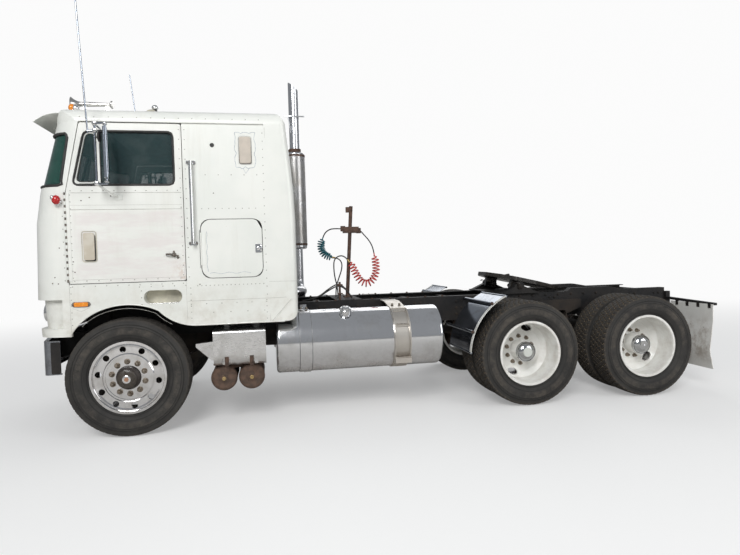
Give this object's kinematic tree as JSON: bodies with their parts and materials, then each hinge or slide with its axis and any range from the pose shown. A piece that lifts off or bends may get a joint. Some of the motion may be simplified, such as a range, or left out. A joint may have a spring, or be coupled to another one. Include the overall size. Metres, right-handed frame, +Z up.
{
  "type": "cab-over tractor unit",
  "caption": "Road tractor with a tall flat-fronted sleeper cab over its front axle, twin driven rear axles, a tilting coupling plate, round side tanks and an upright exhaust.",
  "frame": {"origin": "on the ground, at the middle of the truck's length and width", "axes": "+X forward, +Y to the driver's left, +Z up"},
  "size_m": [6.75, 2.9092, 3.9505],
  "materials": {
    "frame_black": "semi-gloss black",
    "bright_aluminium": "polished",
    "cast_dark": "oily and dusty",
    "rusty_steel": "rusted",
    "chrome": "polished",
    "exhaust_steel": "bright, stained by heat",
    "cab_white": "gloss paint, weathered",
    "cab_inner": "matt trim",
    "glass": "tinted",
    "lamp_glass": "clear lens over a bright bowl",
    "trim_fabric": "woven",
    "tyre": "weathered rubber",
    "white_steel": "gloss white, dusty",
    "flap_white": "matt white",
    "red_hose": "faded red",
    "blue_hose": "dark teal",
    "hose_black": "matt"
  },
  "bodies": {
    "chassis": {"frame_rails": "frame_black", "crossmembers": "frame_black", "frame_brackets": "frame_black", "front_bumper": "bright_aluminium", "axles": "cast_dark", "springs": "cast_dark", "engine_and_radiator": "cast_dark", "fuel_tanks": "bright_aluminium", "battery_boxes": "bright_aluminium", "air_tanks": "rusty_steel", "exhaust": "exhaust_steel", "air_line_pole": "rusty_steel", "quarter_fenders": "bright_aluminium", "mudflaps": "flap_white", "tail_lamps": "lamp_glass", "fifth_wheel_base": "frame_black", "red_hose": "hose_black", "red_coil": "red_hose", "blue_hose": "hose_black", "blue_coil": "blue_hose"},
    "fifth_wheel": {"fifth_wheel_plate": "frame_black"},
    "steer_left": {"left_knuckle": "cast_dark"},
    "steer_right": {"right_knuckle": "cast_dark"},
    "tie_rod": {"tie_rod": "cast_dark"},
    "front_left_wheel": {"front_left_wheel": "bright_aluminium", "front_left_tyre": "tyre"},
    "front_right_wheel": {"front_right_wheel": "bright_aluminium", "front_right_tyre": "tyre"},
    "first_left_wheels": {"first_left_wheel": "white_steel", "first_left_tyres": "tyre"},
    "first_right_wheels": {"first_right_wheel": "white_steel", "first_right_tyres": "tyre"},
    "second_left_wheels": {"second_left_wheel": "white_steel", "second_left_tyres": "tyre"},
    "second_right_wheels": {"second_right_wheel": "white_steel", "second_right_tyres": "tyre"},
    "cab": {"cab_floor": "cab_inner", "cab_front": "cab_white", "cab_sides": "cab_white", "cab_rear": "cab_white", "cab_roof": "cab_white", "windscreen": "glass", "grille": "chrome", "lamps": "lamp_glass", "sun_visor": "cab_white", "air_horn": "chrome", "grab_handles": "chrome", "bunk_board": "cab_inner", "mattress": "trim_fabric", "seats": "trim_fabric", "dashboard": "cab_inner"},
    "steering_wheel": {"steering_wheel": "cab_inner"},
    "left_door": {"left_door": "cab_white", "left_door_glass": "glass", "left_mirror": "chrome"},
    "right_door": {"right_door": "cab_white", "right_door_glass": "glass", "right_mirror": "chrome"},
    "left_luggage_door": {"left_luggage_door": "cab_white"},
    "right_luggage_door": {"right_luggage_door": "cab_white"}
  },
  "joints": [
    {"name": "cab_tilt", "type": "hinge", "parent": "chassis", "child": "cab", "pos_m": [3.26, 0, 1.045], "axis": [0, 1, 0], "range_deg": [0, 65]},
    {"name": "left_door_hinge", "type": "hinge", "parent": "cab", "child": "left_door", "pos_m": [3.0495, 1.178, 1.76], "axis": [0, 0, -1], "range_deg": [0, 72]},
    {"name": "right_door_hinge", "type": "hinge", "parent": "cab", "child": "right_door", "pos_m": [3.0495, -1.178, 1.76], "axis": [0, 0, 1], "range_deg": [0, 72]},
    {"name": "left_luggage_hinge", "type": "hinge", "parent": "cab", "child": "left_luggage_door", "pos_m": [1.948, 1.178, 1.645], "axis": [0, 0, -1], "range_deg": [0, 100]},
    {"name": "right_luggage_hinge", "type": "hinge", "parent": "cab", "child": "right_luggage_door", "pos_m": [1.948, -1.178, 1.645], "axis": [0, 0, 1], "range_deg": [0, 100]},
    {"name": "steer_left", "type": "hinge", "parent": "chassis", "child": "steer_left", "pos_m": [2.61, 0.8, 0.526], "axis": [0, 0, 1], "range_deg": [-35, 35]},
    {"name": "steer_right", "type": "hinge", "parent": "chassis", "child": "steer_right", "pos_m": [2.61, -0.8, 0.526], "axis": [0, 0, 1], "range_deg": [-36, 36]},
    {"name": "tie_rod_pivot", "type": "hinge", "parent": "steer_left", "child": "tie_rod", "pos_m": [2.41, 0.72, 0.4], "axis": [0, 0, 1], "range_deg": [-36, 36]},
    {"name": "steering_wheel_turn", "type": "hinge", "parent": "cab", "child": "steering_wheel", "pos_m": [2.815, 0.8, 2.045], "axis": [-0.3136, 0, 0.9496], "range_deg": [-640, 640]},
    {"name": "front_left_spin", "type": "hinge", "parent": "steer_left", "child": "front_left_wheel", "pos_m": [2.61, 1.02, 0.526], "axis": [0, 1, 0], "continuous": true},
    {"name": "front_right_spin", "type": "hinge", "parent": "steer_right", "child": "front_right_wheel", "pos_m": [2.61, -1.02, 0.526], "axis": [0, 1, 0], "continuous": true},
    {"name": "first_left_spin", "type": "hinge", "parent": "chassis", "child": "first_left_wheels", "pos_m": [-1.19, 0.909, 0.526], "axis": [0, 1, 0], "continuous": true},
    {"name": "first_right_spin", "type": "hinge", "parent": "chassis", "child": "first_right_wheels", "pos_m": [-1.19, -0.909, 0.526], "axis": [0, 1, 0], "continuous": true},
    {"name": "second_left_spin", "type": "hinge", "parent": "chassis", "child": "second_left_wheels", "pos_m": [-2.511, 0.909, 0.526], "axis": [0, 1, 0], "continuous": true},
    {"name": "second_right_spin", "type": "hinge", "parent": "chassis", "child": "second_right_wheels", "pos_m": [-2.511, -0.909, 0.526], "axis": [0, 1, 0], "continuous": true},
    {"name": "fifth_wheel_tilt", "type": "hinge", "parent": "chassis", "child": "fifth_wheel", "pos_m": [-1.43, 0, 1.155], "axis": [0, 1, 0], "range_deg": [0, 26]}
  ],
  "couplings": [
    {"joint": "steer_right", "follows": "steer_left", "ratio": 1},
    {"joint": "tie_rod_pivot", "follows": "steer_left", "ratio": -1},
    {"joint": "steering_wheel_turn", "follows": "steer_left", "ratio": 18}
  ]
}
